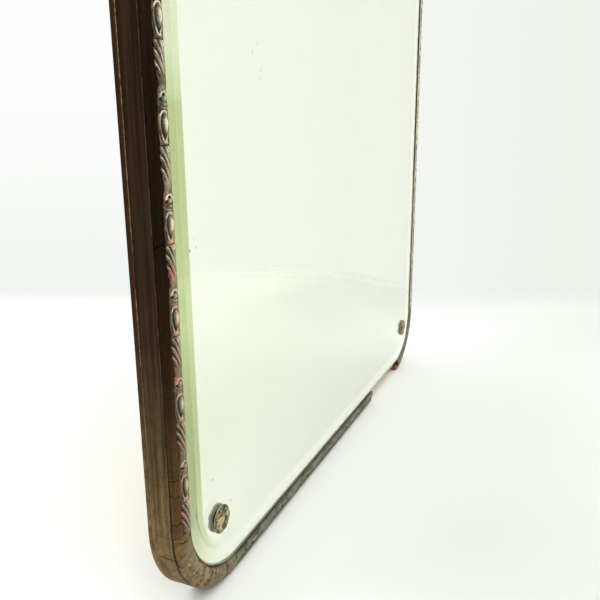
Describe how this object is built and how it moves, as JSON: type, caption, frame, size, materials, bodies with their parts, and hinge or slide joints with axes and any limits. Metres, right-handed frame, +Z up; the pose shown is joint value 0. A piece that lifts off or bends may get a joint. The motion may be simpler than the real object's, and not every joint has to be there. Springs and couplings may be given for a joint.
{
  "type": "wall mirror",
  "caption": "Upright wall mirror with a bevelled plate, rosette mirror screws and a thin dark moulded frame with rounded corners and a silvered bead; part of the lower moulding is missing.",
  "frame": {"origin": "where the wall plane meets the underside of the frame, on the frame's vertical centre line", "axes": "+Z up, +Y into the wall, +X to the right for a person who looks into the glass"},
  "size_m": [0.808, 0.0353, 1.098],
  "materials": {
    "member_wood": "raw softwood, planed and darkened with age",
    "board_wood": "raw pale softwood, planed",
    "screw_steel": "dull steel",
    "felt": "thin brown felt",
    "silver": "silver under a dark backing paint",
    "glass": "clear plate glass, polished bevel",
    "pad_rubber": "matt dark rubber",
    "rosette_brass": "pressed brass, aged, dark in the hollows",
    "fibre": "dark pressed fibre",
    "screw_brass": "turned brass",
    "side_wood": "wood under dark brown varnish, satin, cracked across the grain",
    "bead_wood": "wood under dark brown varnish, satin",
    "corner_wood": "wood under dark brown varnish, satin, worn on its crown",
    "silver_leaf": "cast composition under aged silver leaf on red clay",
    "rear_wood": "wood under dark brown varnish with a gold line along its front edge",
    "hanger_steel": "dull plated steel"
  },
  "bodies": {
    "mirror": {"left_stile": "member_wood", "right_stile": "member_wood", "top_rail": "member_wood", "bottom_rail": "member_wood", "upper_batten": "member_wood", "lower_batten": "member_wood", "board_1": "board_wood", "board_2": "board_wood", "board_3": "board_wood", "board_4": "board_wood", "board_5": "board_wood", "board_screws": "screw_steel", "felt_sheet": "felt", "silvering": "silver", "mirror_glass": "glass", "setting_pads": "pad_rubber", "rosette_bottom_left": "rosette_brass", "rosette_bottom_right": "rosette_brass", "rosette_top_left": "rosette_brass", "rosette_top_right": "rosette_brass", "rosette_washers": "fibre", "glass_sleeves": "fibre", "mirror_screws": "screw_brass", "side_left": "side_wood", "side_right": "side_wood", "side_top": "side_wood", "side_bottom": "side_wood", "side_corner_top_left": "side_wood", "side_corner_top_right": "side_wood", "side_corner_bottom_left": "side_wood", "side_corner_bottom_right": "side_wood", "bead_left": "bead_wood", "bead_right": "bead_wood", "bead_top": "bead_wood", "bead_bottom": "bead_wood", "bead_corner_top_left": "corner_wood", "bead_corner_top_right": "corner_wood", "bead_corner_bottom_left": "corner_wood", "bead_corner_bottom_right": "corner_wood", "ornament_left": "silver_leaf", "ornament_right": "silver_leaf", "ornament_top": "silver_leaf", "ornament_bottom": "silver_leaf", "rear_left": "rear_wood", "rear_right": "rear_wood", "rear_top": "rear_wood", "rear_bottom": "rear_wood", "rear_corner_top_left": "rear_wood", "rear_corner_top_right": "rear_wood", "rear_corner_bottom_left": "rear_wood", "rear_corner_bottom_right": "rear_wood", "rear_screws": "screw_steel", "left_hanger_strap": "hanger_steel", "right_hanger_strap": "hanger_steel", "hanger_screws": "hanger_steel"},
    "left_ring": {"left_hanger_ring": "hanger_steel"},
    "right_ring": {"right_hanger_ring": "hanger_steel"}
  },
  "joints": [
    {"name": "left_ring_hinge", "type": "hinge", "parent": "mirror", "child": "left_ring", "pos_m": [-0.344, -0.00269, 0.8], "axis": [0, 0, 1], "range_deg": [0, 165]},
    {"name": "right_ring_hinge", "type": "hinge", "parent": "mirror", "child": "right_ring", "pos_m": [0.344, -0.00269, 0.8], "axis": [0, 0, -1], "range_deg": [0, 165]}
  ]
}
